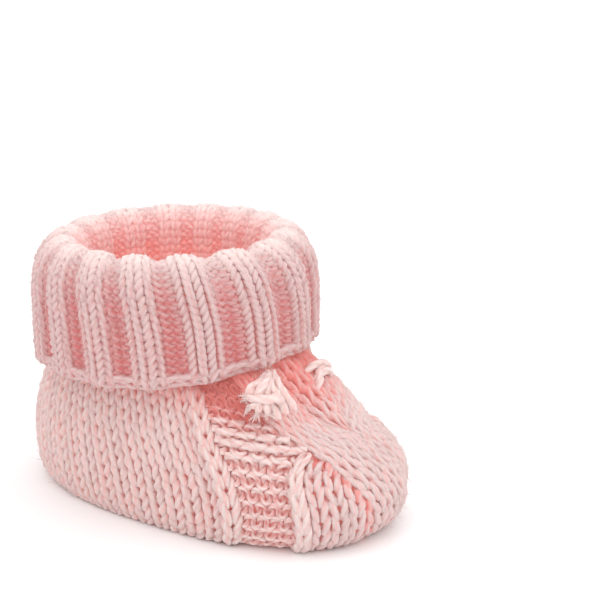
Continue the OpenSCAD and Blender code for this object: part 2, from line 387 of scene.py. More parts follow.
# %% Build the knitting tree
def knitting_tree():
    """The tree that knits rows of loops on a guide."""
    tree = bpy.data.node_groups.new("knit_rows", "GeometryNodeTree")
    tree.interface.new_socket("Guide", in_out="INPUT", socket_type="NodeSocketGeometry")
    for label, kind, start in KNIT_INPUTS:
        socket = tree.interface.new_socket(label, in_out="INPUT", socket_type="NodeSocket" + kind)
        if start is not None:
            socket.default_value = start
    tree.interface.new_socket("Yarn", in_out="OUTPUT", socket_type="NodeSocketGeometry")
    g = Graph(tree)
    given = tree.nodes.new("NodeGroupInput")
    read = {s.name: Wire(g, s) for s in given.outputs if s.name}

    # Which row and which step of the row a point is.
    per_row = read["Wales"] * read["Steps"] + 1 - read["Closed"]
    index = g.add("GeometryNodeInputIndex") + 0.5
    row = (index / per_row).of("FLOOR")
    step = index - 0.5 - row * per_row
    across = step / read["Steps"]
    phase = across.of("FRACT") * (2 * math.pi)
    along_rib = across + read["First"]

    # Knit is +1 and purl is -1; in ribbing the two trade places through a quick change.
    wave = (along_rib * (2 * math.pi) / read["Rib"].of("MAXIMUM", 1.0)).of("COSINE")
    ribbed = read["Rib"].of("GREATER_THAN", 0.5)
    face = read["Face"] * (1 - ribbed) + ribbed * (wave * -4.0).clamp(-1.0, 1.0)

    # A hand never makes two stitches quite the same.
    spot = g.pack(across * 0.9, row * 1.7, read["Seed"])
    uneven = g.add("ShaderNodeTexNoise", {"noise_dimensions": "3D"}, Vector=spot, Scale=1.0,
                   Detail=2.0)
    shake = g.add("ShaderNodeSeparateXYZ", {}, uneven.out("Color"))
    side_shake = (shake - 0.5) * read["Wobble"]
    up_shake = (shake.out("Y") - 0.5) * read["Wobble"] * 1.6
    out_shake = (shake.out("Z") - 0.5) * read["Wobble"] * 3.0

    # The loop itself, in wales, rows and metres.
    sway = read["Lean"] * (phase * 2).of("SINE")
    rise = read["Loop"] * phase.of("COSINE")
    swing = (phase * 2).of("SINE")
    weave = face * (phase * 2).of("COSINE") - read["Swell"] * swing * swing + out_shake
    u = (across + sway + side_shake) / read["Wales"]
    v = (row + 0.5 - rise + up_shake + read["Margin"]) / (read["Rows"] + read["Margin"] * 2)
    place = g.pack(u.clamp(0.0005, 0.9995), v.clamp(0.0005, 0.9995), 0.0)

    def on_guide(kind, value):
        """Reads a value of the guide at the stitch's place on its map."""
        knit_map = g.add("GeometryNodeInputNamedAttribute", {"data_type": "FLOAT_VECTOR"}, "knit")
        return g.add("GeometryNodeSampleUVSurface", {"data_type": kind}, read["Guide"], value,
                     knit_map, place)

    def named(kind, label):
        """Reads a value that the mesh or the curve carries."""
        return g.add("GeometryNodeInputNamedAttribute", {"data_type": kind}, label)

    surface_point = on_guide("FLOAT_VECTOR", g.add("GeometryNodeInputPosition"))
    surface_out = on_guide("FLOAT_VECTOR", named("FLOAT_VECTOR", "outward"))
    snug = on_guide("FLOAT", named("FLOAT", "snug"))
    hollow = on_guide("FLOAT", named("FLOAT", "hollow"))
    depth = read["Depth"] * snug * -1.0 * weave
    spot_out = g.add("ShaderNodeVectorMath", {"operation": "SCALE"}, surface_out, Scale=depth)
    position = g.vector("ADD", surface_point, spot_out)
    thickness = (1 + (uneven - 0.5) * 0.3) * read["Yarn"] * 0.5 * snug

    # Points become one curve for each row, and the curve becomes yarn.
    points = g.add("GeometryNodePoints", {}, per_row * read["Rows"])
    points = g.add("GeometryNodeStoreNamedAttribute", {"data_type": "FLOAT"}, points,
                   Name="hollow", Value=hollow)
    points = g.add("GeometryNodeStoreNamedAttribute", {"data_type": "FLOAT"}, points,
                   Name="thick", Value=thickness)
    points = g.add("GeometryNodeSetPosition", {}, points, Position=position)
    rows = g.add("GeometryNodePointsToCurves", {}, points, row)
    rows = g.add("GeometryNodeSetSplineCyclic", {}, rows, Cyclic=read["Closed"])
    yarn = sweep_yarn(g, rows, named("FLOAT", "thick"), read["Sides"])

    # How proud each bit of yarn stands over the guide, in yarn widths.
    here = g.add("GeometryNodeInputPosition")
    foot = g.add("GeometryNodeSampleNearestSurface", {"data_type": "FLOAT_VECTOR"}, read["Guide"],
                 Value=g.add("GeometryNodeInputPosition"), Sample_Position=here)
    up = g.add("GeometryNodeSampleNearestSurface", {"data_type": "FLOAT_VECTOR"}, read["Guide"],
               Value=named("FLOAT_VECTOR", "outward"), Sample_Position=here)
    proud = g.add("ShaderNodeVectorMath", {"operation": "DOT_PRODUCT"},
                  g.vector("SUBTRACT", here, foot), up)
    proud = Wire(g, proud.socket.node.outputs["Value"]) / read["Yarn"]
    yarn = g.add("GeometryNodeStoreNamedAttribute", {"data_type": "FLOAT"}, yarn,
                 Name="proud", Value=proud)
    yarn = fuzz_over(g, yarn, read["Fuzz"], read["Finish"])
    yarn = g.add("GeometryNodeSetShadeSmooth", {}, yarn)
    yarn = g.add("GeometryNodeRealizeInstances", {}, yarn)
    yarn = g.add("GeometryNodeSetMaterial", {}, yarn, Material=read["Finish"])
    last = tree.nodes.new("NodeGroupOutput")
    tree.links.new(yarn.socket, last.inputs[0])
    return tree


KNITTING = knitting_tree()
print("the knitting tree has", len(KNITTING.nodes), "nodes")

# %% [markdown]
# ## Laying the yarn
# The tree runs as a modifier on a guide. Its result is taken as a plain mesh, the modifier
# and the guide go, and the yarn is left as one piece of knitting.

# %% Run the tree
def run_tree(name, guide, tree, chosen):
    """Runs a tree on a guide mesh with the chosen inputs; returns a plain mesh object."""
    guide_object = bpy.data.objects.new(name + "_guide", guide)
    bpy.context.scene.collection.objects.link(guide_object)
    modifier = guide_object.modifiers.new("yarn", "NODES")
    modifier.node_group = tree
    for item in tree.interface.items_tree:
        if item.in_out == "INPUT" and item.name in chosen:
            modifier[item.identifier] = chosen[item.name]
    evaluated = guide_object.evaluated_get(bpy.context.evaluated_depsgraph_get())
    mesh = bpy.data.meshes.new_from_object(evaluated)
    mesh.name = name
    guide_object.modifiers.clear()
    bpy.data.objects.remove(guide_object)
    bpy.data.meshes.remove(guide)
    yarn = bpy.data.objects.new(name, mesh)
    bpy.context.scene.collection.objects.link(yarn)
    faces = sum(len(p.vertices) - 2 for p in mesh.polygons)
    print(f"{name}: {faces} triangles")
    return yarn


def knit(name, guide, finish, **sizes):
    """Knits rows of loops on a guide."""
    chosen = {key.capitalize(): value for key, value in sizes.items()}
    return run_tree(name, guide, KNITTING, {"Finish": finish, **chosen})


# %% [markdown]
# ## The yarn's finish
# Soft yarn scatters light: its crowns look pale, and the light that has bounced between
# pink fibres comes out of the gaps in a stronger salmon. This light and shade is painted
# on: the finish reads how proud each bit of yarn stands, and blends from salmon to pale
# pink, and it paints more shade where the guide asks for it. The scattered light itself is
# painted as a weak glow in the gaps, and a little more of it inside the leg. Where the
# guide's value is below zero, over the fold, the yarn is painted paler, a painted highlight
# on the top of the fold. The finest fibres are a bump, and sheen stands for their bloom.

# %% Make a yarn finish
def color_mix(g, factor, low, high):
    """Blends two colours, either of which may be a wire."""
    return g.add("ShaderNodeMix", {"data_type": "RGBA"}, factor, low, high)


def attribute(g, name, output):
    """A value that the mesh carries from point to point."""
    return g.add("ShaderNodeAttribute", {"attribute_name": name}).out(output)


GLOW = (1.0, 0.32, 0.28, 1)              # painted glow, in the colour of light that the fibres have scattered
FOLD_HIGHLIGHT = (0.93, 0.76, 0.73, 1)          # painted highlight on the top of the fold
PLY_TONE = 0.2                           # painted shade between the yarn's plies: how much darker it is there
HOLLOW_TONE, FOLD_HIGHLIGHT_TONE = 0.55, 0.85     # how strongly the painted shade and the painted highlight over the fold show
PATCH_TONE, MOTTLE_TONE = 0.3, 0.25      # unevenness over a few stitches and within one
LEG_BACK = 11.5                          # how far behind the middle the leg stands, in mm
WELL_RADIUS, WELL_SOFT = 25.5 * MM, 3.0 * MM    # the inside of the leg, where the painted glow is stronger, and its soft border
FINISH = "_finish"   # after the name of the CAD record's material slot


def yarn_finish(name, pale, deep, start=-0.7, end=0.9, glow=0.25, inner_glow=0.0):
    """Pale pink on the crowns and deep in the gaps, as painted light and shade, with a painted
    glow in the gaps and more inside the leg; start and end are in yarn widths.
    """
    material = bpy.data.materials.new(name + FINISH)
    material.use_nodes = True
    material.diffuse_color = (*pale, 1)
    g = Graph(material.node_tree)
    shader = material.node_tree.nodes["Principled BSDF"]
    place = g.add("ShaderNodeTexCoord").out("Object")
    proud = attribute(g, "proud", "Fac")
    hollow = attribute(g, "hollow", "Fac")
    # Painted light and shade: the tone runs from the deep colour in the gaps to the pale one on
    # the crowns, and drops where the guide asks for shade.
    tone = ((proud - start) / (end - start) - hollow * HOLLOW_TONE).clamp()
    tone = tone * tone * (3 - 2 * tone)
    patches = g.add("ShaderNodeTexNoise", {}, Vector=place, Scale=130.0, Detail=3.0)
    mottle = g.add("ShaderNodeTexNoise", {}, Vector=place, Scale=900.0, Detail=2.0)
    plies = (attribute(g, "around", "Fac") * PLIES).of("COSINE")
    tone = tone + (patches - 0.5) * PATCH_TONE + (mottle - 0.5) * MOTTLE_TONE
    tone = (tone + (plies - 0.3) * PLY_TONE).clamp()
    color = color_mix(g, tone, (*deep, 1), (*pale, 1))
    # Painted highlight: over the fold, where the guide's value is below zero, the yarn is painted
    # paler.
    color = color_mix(g, (hollow * -1).clamp() * FOLD_HIGHLIGHT_TONE, color, FOLD_HIGHLIGHT)
    value = 0.97 + (mottle - 0.5) * 0.12
    color = g.add("ShaderNodeHueSaturation", {}, Value=value, Color=color)
    g.feed(shader.inputs["Base Color"], color)
    # Painted glow: the gaps glow salmon, and the inside of the leg glows more.
    light = (1 - tone) * glow
    if inner_glow:
        spot = g.add("ShaderNodeSeparateXYZ", {}, place)
        ahead, aside = spot + LEG_BACK * MM, spot.out("Y")
        reach = (ahead * ahead + aside * aside) ** 0.5
        light = light + ((WELL_RADIUS - reach) / WELL_SOFT).clamp() * inner_glow
    g.feed(shader.inputs["Emission Color"], color_mix(g, light.clamp(), (0, 0, 0, 1), GLOW))
    shader.inputs["Emission Strength"].default_value = 1.0

    strands = (attribute(g, "around", "Fac") * (PLIES * 3)).of("COSINE")
    fibres = g.add("ShaderNodeTexNoise", {}, Vector=place, Scale=2600.0, Detail=3.0)
    height = strands * 0.25 + fibres * 0.9
    bump = g.add("ShaderNodeBump", {}, 0.55, 0.00012, Height=height)
    g.feed(shader.inputs["Normal"], bump)
    shader.inputs["Roughness"].default_value = 0.95
    shader.inputs["Specular IOR Level"].default_value = 0.2
    shader.inputs["Sheen Weight"].default_value = 0.35
    shader.inputs["Sheen Roughness"].default_value = 0.6
    shader.inputs["Sheen Tint"].default_value = (1.0, 0.93, 0.92, 1)
    return material


print("glow", GLOW[:3], "and brushed yarn", FOLD_HIGHLIGHT[:3])

# %% [markdown]
# ## One finish for each kind of knitting
# It is all one yarn, but it looks lighter in some stitches than in others: a purl stitch
# shows more gaps, a knot is packed tight, and the ribbing's furrows lie in their own
# shade. So each kind has its own pale and deep tone, all of them near the same two pinks:
# copies of the one yarn, painted lighter or darker for the light and shade on it.

# %% Mix the finishes
PALE = (0.77, 0.585, 0.56)
DEEP = (0.64, 0.21, 0.19)
# The ribbing's pale is darker than the panels': painted shade on the steep cuff.
RIB_PALE = (0.70, 0.50, 0.485)
PANEL = yarn_finish("panel_yarn", PALE, DEEP)
# The purl yarn's deep tone is darker: painted shadow of the cuff over the purl panel.
PURL = yarn_finish("purl_yarn", (0.83, 0.65, 0.62), (0.52, 0.12, 0.105), glow=0.18)
SEAM = yarn_finish("seam_yarn", (0.80, 0.65, 0.62), DEEP, glow=0.14)
CABLE = yarn_finish("cable_yarn", (0.74, 0.575, 0.555), DEEP, glow=0.22)
RIB = yarn_finish("rib_yarn", RIB_PALE, (0.44, 0.12, 0.125), glow=0.2, inner_glow=0.21)
LINING = yarn_finish("lining_yarn", (0.74, 0.51, 0.485), (0.50, 0.14, 0.13), glow=0.22, inner_glow=0.22)
KNOT = yarn_finish("knot_yarn", (0.88, 0.74, 0.71), (0.76, 0.38, 0.34), glow=0.15)
SOLE = yarn_finish("sole_yarn", PALE, DEEP)
# The finish of the sheet in the middle of the fabric: painted shade and glow for the gaps.
SHADE_SHEET = yarn_finish("heart_yarn", (0.85, 0.45, 0.42), (0.80, 0.33, 0.29), glow=0.26)
print("nine finishes are mixed")

# %% [markdown]
# ## The panels of the foot
# The heel and sides are stockinette, the smooth side of knitting. Beside it lies a panel of
# reverse stockinette, whose heads and feet come to the front as wavy bumps. Chain seams,
# a single column of large loops, stand up between them. Lines divide them, each an angle
# from the toe for every height. They are the CAD part's lines, except that the two outer
# ropes are up to 13 degrees narrower at their tops and the purl panels that much wider,
# which opens a crevice beside the near knot.

# %% The lines between the panels
def line(*points):
    """An angle from the toe as a function of height, through a few points."""
    heights, angles = zip(*points)
    return lambda s: np.interp(s, heights, angles)


CHAIN_ANGLE = 3.0    # half the width of a chain seam, in degrees
HEEL_ANGLE = 177     # the heel panel ends here and the back seam begins
CROSSING_S = 0.66    # the height at which the crossing rope covers the toe chain
CENTRE_S = 0.71      # the height at which the centre rope comes out
chain_line = line((0, 65), (0.3, 66.5), (0.65, 67), (0.79, 64), (0.89, 58.5), (1, 54))
toe_line = line((0, 38), (0.15, 39.5), (0.31, 41.5), (0.44, 41.5), (0.53, 39), (0.6, 34),
                (0.67, 25.5), (0.76, 33), (0.83, 36), (0.9, 34.5), (1, 31))
crossing_line = line((0, 2), (0.15, 4), (0.29, 8), (0.44, 15.5), (0.53, 19.5), (0.62, 22),
                     (0.67, 25.5), (0.76, 33), (0.83, 36), (0.9, 34.5), (1, 31))
rope_line = line((0, -27), (0.2, -24), (0.35, -19), (0.5, -13), (0.62, -7), (0.7, -2),
                 (0.76, 5), (0.82, 10.5), (1, 11.5))
far_line = line((0, -27), (0.7, -2), (0.76, -6), (0.82, -10.5), (1, -11.5))


def toe_edge(s):
    """The front edge of the toe chain, which closes to a point under the rope."""
    return toe_line(s) - CHAIN_ANGLE * (1 - s) * (s < CROSSING_S)


def purl_edge(s):
    """The front edge of the purl panel, behind the toe chain."""
    return toe_line(s) + CHAIN_ANGLE * (s < CROSSING_S)


print("the chain seam leaves the sole", float(chain_line(0.0)), "degrees from the toe")

# %% [markdown]
# ## Heel and purl panels
# The heel panel of each side is one piece of plain knitting that wraps the heel. The purl
# panel is narrow, and the same stitches show their back. A panel is a guide between its
# two lines with rows of loops on it, so that one function builds them all.

# %% Knit the heel and purl panels
STOCKINETTE = dict(yarn=2.0 * MM, depth=0.95 * MM, lean=0.195, loop=0.82, steps=20, sides=9)
HEEL = dict(STOCKINETTE, yarn=2.05 * MM, wales=16, rows=15, lean=0.18)
BUMPS = dict(STOCKINETTE, yarn=1.85 * MM, wales=4, rows=15, face=-1.0, lean=0.2, loop=0.96,
             swell=-0.3)
BOTH_SIDES = (("right", -1), ("left", 1))
PANEL_DEPTH = 1.6 * MM                   # how far the yarn's middle lies under the skin


def stand_for(piece, node):
    """Puts a piece in the place of a CAD node: the node is hidden and the piece hangs under the
    root.
    """
    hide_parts(node)
    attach(piece, "root")
    return piece


def build_panel(name, node, side, near, far, heights, width, stitches, finish, **shape):
    """Knits one panel between two lines; width is its full width in mm."""
    guide = panel_guide(name + "_guide", lambda s: side * near(s), lambda s: side * far(s),
                        *heights, width * MM, PANEL_DEPTH, **shape)
    return stand_for(knit(name, guide, finish, **stitches), node)


for seed, (label, side) in enumerate(BOTH_SIDES):
    build_panel(label + "_heel_knit", label + "_heel_panel", side, lambda s: HEEL_ANGLE + 0 * s,
                lambda s: chain_line(s) + CHAIN_ANGLE, (0, 1), 76,
                dict(HEEL, seed=float(seed)), PANEL, shade=0.55)
for seed, (label, side) in enumerate(BOTH_SIDES):
    build_panel(label + "_purl_knit", label + "_purl_panel", side,
                lambda s: chain_line(s) - CHAIN_ANGLE, purl_edge, (0, 1), 20,
                dict(BUMPS, seed=2.0 + seed), PURL, crowd=0.15, shade=1.5)

# %% [markdown]
# ## The chain seams
# Where the knitter changes from smooth to bumpy knitting, one column of loops is worked
# larger and stands up like a chain. It is the same loop again, a single wale wide and
# lifted off the skin. The long chains are also rolled a little, so that the leg on the
# heel's side stands proud. The seam at the back of the heel lies flat.

# %% The chain seams
CHAIN = dict(yarn=2.0 * MM, depth=0.8 * MM, lean=0.22, loop=0.85, steps=24, sides=10, wales=1)
for seed, (label, side) in enumerate(BOTH_SIDES):
    build_panel(label + "_chain", label + "_chain_seam", side,
                lambda s: chain_line(s) + CHAIN_ANGLE * 0.9,
                lambda s: chain_line(s) - CHAIN_ANGLE * 0.9, (0, 1), 3.4,
                dict(CHAIN, rows=11, seed=10.0 + seed), SEAM,
                lift=0.7 * MM, roll=1.35 * MM, shade=0.5)
    build_panel(label + "_toe_chain_knit", label + "_toe_chain", side,
                lambda s: toe_line(s) + CHAIN_ANGLE * 1.1, toe_edge, (0, CROSSING_S), 3.2,
                dict(CHAIN, rows=6, seed=12.0 + seed), SEAM, lift=1.2 * MM)
build_panel("heel_seam_knit", "heel_seam", -1, lambda s: 360 - HEEL_ANGLE + 0 * s,
            lambda s: HEEL_ANGLE + 0 * s, (0, 1), 4.5,
            dict(STOCKINETTE, wales=1, rows=15, seed=14.0), PANEL)

# %% [markdown]
# ## The cable
# Three ropes of stockinette run down the instep. The near one crosses over the toe, the
# centre one goes under it and comes out beside it as the toe panel, and the far one runs
# down the far side. Each rope is crowned, so that it stands up like a real cable. The
# toe panel's wales keep their width and dive under the crossing rope one by one.

# %% The ropes and the toe panel
TOE_ANGLE = 36
ROPE = dict(yarn=1.85 * MM, depth=0.85 * MM, lean=0.19, loop=0.84, steps=20, sides=9)
build_panel("crossing_rope_knit", "crossing_rope", -1, crossing_line, rope_line, (0, 1), 12.5,
            dict(ROPE, wales=4, rows=15, seed=20.0), CABLE, crown=1.2 * MM, tilt=0.08)
build_panel("centre_rope_knit", "centre_rope", -1, rope_line, far_line, (CENTRE_S, 1), 9.5,
            dict(ROPE, wales=2, rows=6, seed=21.0), CABLE, crown=1.2 * MM)
build_panel("far_rope_knit", "far_rope", -1,
            lambda s: np.where(s < CENTRE_S, rope_line(s), far_line(s)),
            lambda s: -np.where(s < CROSSING_S, toe_edge(s), toe_line(s)), (0, 1), 12,
            dict(ROPE, wales=4, rows=15, seed=22.0), CABLE, crown=1.2 * MM)
build_panel("right_toe_knit", "right_toe_panel", -1, toe_edge, crossing_line, (0, CROSSING_S), 6,
            dict(ROPE, wales=4, rows=7, seed=23.0, loop=0.85), CABLE, straight=TOE_ANGLE)

# %% [markdown]
# ## The ribbed leg and cuff
# The leg is one tube of wide ribbing. It rises from the ankle, folds outwards over its top,
# and hangs down as the cuff. Its section is a smooth curve through a few points, swept
# round the leg, and the purl wales sink into furrows. The ribs crowd a little at the heel
# and lean as they come down, as in any hand-pulled cuff.

# %% The section and the ribs
LEG_RADIUS, CUFF_RADIUS = 20.5, 35.0
FOLD_HEIGHT, EDGE_HEIGHT, EDGE_RISE = 66.0, 35.6, 3.2
RIBS, WALES_PER_RIB = 16, 4
INSET = 1.6          # how far the yarn's middle lies inside the fabric's faces
RIB_ROWS = 30        # rows from the ankle over the fold to the rim
PINCH = 0.3          # how far the purl wales are drawn together
RIB_LEAN, LEAN_AT = 9.0, 0.63            # how far the ribs lean, and where they are straight
FURROW_AT = -50.0                        # the angle of a furrow, before the ribs stray
RIB_STRAY, STRAY_AT = 3.5, 54.0          # how far the ribs stray to either side, and where
FOLD_TILT, TILT_AT = 0.5, 50.0           # how much higher the fold stands, and where
PUFF_AT, FURROW_BACK = -50.0, 0.4        # the ribs puff up most on this side of the fold
FURROW_TOP, FURROW_DEPTH = 1.6, 2.8      # how deep the purl wales lie, at the fold and below
FOLD_AT, FOLD_SPREAD = 0.5, 0.13         # where along the section the fold gets its painted highlight
INSIDE_END = 0.42                        # where along the section the inside's shade ends
INSIDE_SHADE, FOLD_HIGHLIGHT_MOST = 0.75, 1.2     # how strong the painted shade inside is, and the painted highlight on the fold


def rib_angles(u):
    """The angle round the leg of wale u: furrows lie where u is a multiple of a rib. The
    purl wales are drawn together, so that the furrows are narrower than the ribs."""
    u = u - PINCH * WALES_PER_RIB / (2 * math.pi) * np.sin(2 * math.pi * u / WALES_PER_RIB)
    theta = np.linspace(-600, 600, 4801)    # every quarter degree, past a turn at both ends
    stray = RIB_STRAY * np.cos(np.radians(2 * (theta + STRAY_AT)))
    wales = (theta - FURROW_AT + stray) * RIBS / 360 * WALES_PER_RIB
    return np.interp(u, wales, theta)


def cuff_section(theta):
    """Points down the section at each angle, from the ankle over the fold to the cuff's rim."""
    c = np.cos(np.radians(theta))
    top = FOLD_HEIGHT + FOLD_TILT * np.cos(np.radians(theta - TILT_AT))
    low = EDGE_HEIGHT + EDGE_RISE * np.maximum(c, 0) ** 3
    inner, outer = LEG_RADIUS + INSET, CUFF_RADIUS - INSET
    flat = np.ones_like(theta)
    spots = [(inner + 2.4, 42 * flat), (inner + 0.5, 49 * flat), (inner, 56 * flat),
             (inner + 0.5, top - 5.5), (inner + 2.2, top - 2.6), (inner + 4.6, top - 1.6),
             (inner + 7.2, top - 2.8), (outer - 1.2, top - 6.4), (outer - 0.2, top - 11),
             (outer + 0.1, (top + low) / 2 - 2), (outer, low + 1.3)]
    return np.stack([np.stack([r * flat, z], -1) for r, z in spots], 0)


def smooth_line(points, t):
    """A Catmull-Rom curve through the points, at t from 0 to 1."""
    last = len(points) - 1
    padded = np.concatenate([[2 * points[0] - points[1]], points, [2 * points[-1] - points[-2]]])
    place = np.clip(t, 0, 1) * last
    i = np.minimum(place.astype(int), last - 1)
    f = (place - i).reshape(-1, *([1] * (points.ndim - 1)))
    a, b, c, d = (padded[i + k] for k in range(4))
    return 0.5 * (2 * b + (c - a) * f + (2 * a - 5 * b + 4 * c - d) * f ** 2
                  + (3 * b - a - 3 * c + d) * f ** 3)


def rib_surface(first_row, last_row, margin, offset=0.0):
    """Points, outward directions and painted shade round the leg for some of the ribbing's rows,
    counted from the ankle. offset moves them outwards, in mm."""
    wales = RIBS * WALES_PER_RIB
    u = np.linspace(-1, wales - 1, wales * 4 + 1)
    theta = rib_angles(u)
    section = smooth_line(cuff_section(theta), np.linspace(0, 1, FINE))
    lengths = run_length(section.mean(1))
    rows = np.linspace(first_row - margin, last_row + margin, (last_row - first_row) * 3 + 1)
    w = np.clip(rows / RIB_ROWS, 0, 1)
    t = np.interp(w * lengths[-1], lengths, np.linspace(0, 1, FINE))
    flat = smooth_line(cuff_section(theta), t)
    slope = smooth_line(cuff_section(theta), np.minimum(t + 0.01, 1)) - smooth_line(
        cuff_section(theta), np.maximum(t - 0.01, 0))
    out = np.stack([slope[..., 1], -slope[..., 0]], -1) * -1
    out /= np.linalg.norm(out, axis=-1, keepdims=True)
    furrow = ((1 + np.cos(2 * np.pi * u / WALES_PER_RIB)) / 2) ** 1.3
    down = np.clip((t - 0.5) / 0.5, 0, 1)
    near = (1 + np.cos(np.radians(theta - PUFF_AT))) / 2
    top = (FURROW_BACK + (FURROW_TOP - FURROW_BACK) * near)[None, :]
    sink = top + (FURROW_DEPTH - top) * np.minimum(down * 1.6, 1)[:, None]
    flat = flat + out * (offset - furrow[None, :] * sink)[..., None]
    turn = np.radians(theta[None, :] + RIB_LEAN * (down[:, None] - LEAN_AT))
    x, y = flat[..., 0] * np.cos(turn) - LEG_BACK, flat[..., 0] * np.sin(turn)
    points = np.stack([x, y, flat[..., 1]], -1) * MM
    normals = np.stack([out[..., 0] * np.cos(turn), out[..., 0] * np.sin(turn), out[..., 1]], -1)
    # Painted shade: in the furrows, stronger down the cuff, and inside the leg.
    inside = np.clip(1 - t / INSIDE_END, 0, 1)
    # Painted highlight on the top of the fold, taken off the shade.
    fold_highlight = np.exp(-((t - FOLD_AT) / FOLD_SPREAD) ** 2)
    deep = np.maximum(down, inside)[:, None]
    hollow = furrow[None, :] * (0.3 + 0.8 * deep) + INSIDE_SHADE * inside[:, None]
    hollow = np.clip(hollow, 0, 1.5) - fold_highlight[:, None] * (FOLD_HIGHLIGHT_MOST - 0.5 * furrow[None, :])
    return points, normals, hollow


def rib_guide(name, first_row, last_row, margin):
    """A guide all round the leg for some of the ribbing's rows."""
    points, normals, hollow = rib_surface(first_row, last_row, margin)
    return guide_mesh(name, points, normals, np.ones_like(hollow), hollow)


print("the leg has", RIBS, "ribs of", WALES_PER_RIB, "wales")

# %% [markdown]
# ## Knitting the ribbing
# The leg and the cuff are one tube, knitted in rounds from the ankle to the rim. It is
# built as four bands of rounds, because one mesh of so many loops would be too heavy. They
# meet row on row, so no join shows.

# %% Knit the ribbing
RIBBING = dict(yarn=1.75 * MM, depth=0.72 * MM, lean=0.2, loop=0.82, steps=14, sides=9,
               margin=0.9, wales=RIBS * WALES_PER_RIB, rib=float(WALES_PER_RIB), first=-1.0,
               closed=1)
BANDS = (
    ("leg_knit", "leg_tube", 0, 8, LINING),
    ("fold_knit", "turned_cuff", 8, 16, RIB),
    ("upper_flap_knit", "turned_cuff", 16, 23, RIB),
    ("lower_flap_knit", "turned_cuff", 23, RIB_ROWS, RIB),
)
for name, node, first_row, last_row, finish in BANDS:
    guide = rib_guide(name + "_guide", first_row, last_row, RIBBING["margin"])
    yarn = knit(name, guide, finish, rows=last_row - first_row, seed=30.0 + first_row, **RIBBING)
    stand_for(yarn, node)

# %% [markdown]
# ## The rim of the cuff
# The last row is bound off: each loop is pulled through the one before it, which makes a
# chain of sideways stitches all round the rim. It bridges the furrows, so they end in it
# like pleats in a waistband.

# %% The bound-off rim
RIM_STITCHES = 64
RIM = dict(yarn=1.8 * MM, depth=0.6 * MM, lean=0.19, loop=0.85, steps=22, sides=9, margin=0.9,
           wales=1, rows=RIM_STITCHES)
RIM_INSET, RIM_CURL = 1.9, 1.2           # how far the rim lies inside the cuff's face
RIM_START, RIM_HEIGHT = 0.6, 2.6         # above the cuff's edge
RIM_TIP = -35                            # how far its lower side faces down, in degrees


def rim_guide():
    """A band round the rim, whose rows run round it and whose one wale stands upright."""
    overlap = RIM["margin"] / RIM_STITCHES * 360
    theta = np.linspace(-overlap, 360 + overlap, 400)
    half_wales = np.arange(-300, 500) * 0.5
    u = np.interp(theta - RIB_LEAN * (1 - LEAN_AT), rib_angles(half_wales), half_wales)
    furrow = (1 + np.cos(2 * np.pi * u / WALES_PER_RIB)) / 2
    low = EDGE_HEIGHT + EDGE_RISE * np.maximum(np.cos(np.radians(theta)), 0) ** 3
    points, normals = [], []
    across = np.linspace(0, 1, 7)
    for angle, edge, dip in zip(theta, low, furrow):
        radius = CUFF_RADIUS - RIM_INSET - dip - RIM_CURL * (1 - across) ** 2
        height = edge + RIM_START + RIM_HEIGHT * across
        c, d = math.cos(math.radians(angle)), math.sin(math.radians(angle))
        points.append(np.stack([radius * c - LEG_BACK, radius * d, height], -1) * MM)
        tip = np.radians(RIM_TIP * (1 - across))
        normals.append(np.stack([np.cos(tip) * c, np.cos(tip) * d, np.sin(tip)], -1))
    points, normals = np.array(points), np.array(normals)
    even = np.ones(points.shape[:2])
    return guide_mesh("rim_guide", points, normals, even, even * 0.0)


stand_for(knit("rim_chain", rim_guide(), RIB, seed=40.0, **RIM), "cuff_edge")

# %% [markdown]
# ## The sole
# The sole is a flat oval of stockinette with its smooth side down. Its outline is the
# foot's lowest ring, and its wales run from heel to toe, narrowing towards both ends.

# %% The sole
SOLE_MIDDLE, SOLE_LENGTH, SOLE_HALF, SOLE_SQUARE = -1.0, 43.5, 23.5, 2.4
SOLE_MIDST = 2.1     # height of the middle of the sole's yarn


def sole_guide():
    """A flat oval grid whose wales run from heel to toe and whose outward side is down."""
    x = np.linspace(-0.985, 0.985, 81)
    half = SOLE_HALF * (1 - np.abs(x) ** SOLE_SQUARE) ** (1 / SOLE_SQUARE)
    across = np.linspace(-1, 1, 21)
    flat = np.ones((81, 21))
    points = np.stack([(SOLE_MIDDLE + SOLE_LENGTH * x)[:, None] * flat,
                       half[:, None] * across[None, :], SOLE_MIDST * flat], -1) * MM
    normals = np.stack([0 * flat, 0 * flat, -flat], -1)
    snug = np.clip(half / SOLE_HALF * 1.3, LEAST_SNUG, 1)[:, None] * flat
    # The sole carries a little painted shade all over.
    return guide_mesh("sole_guide", points[:, ::-1], normals, snug, 0.3 * flat)


stand_for(knit("sole_knit", sole_guide(), SOLE, wales=10, rows=26, seed=50.0,
               **dict(STOCKINETTE, depth=0.85 * MM)), "sole")

# %% [markdown]
# ## The painted shade sheet in the middle of the fabric
# Between its two faces, knitting is closed by its own fuzz: loose fibres that mat together
# and hide what lies behind the gaps. Here it is a thin closed shell in the middle of the
# fabric, painted in the salmon of the shade and bounced light in the gaps, with a painted
# glow. Without it the stitches would be lace, and daylight would show through.

# %% The painted shade sheet
SHEET_PROUD, SHEET_HOLLOW = -0.4, 0.6    # painted as shade, in the tone of yarn that lies this deep
SHEET_DEPTH, SHEET_THICK = 1.95, 0.3     # under the skin, in mm
SHEET_FLOOR = (2.5, 2.8)                 # heights of its two faces over the sole, in mm
RIB_SHEET = (0.1, -0.2)                  # how far its two faces stand off the ribbing's middle
RIB_SHEET_SHORT = 0.4                    # rows by which it ends before the ribbing does


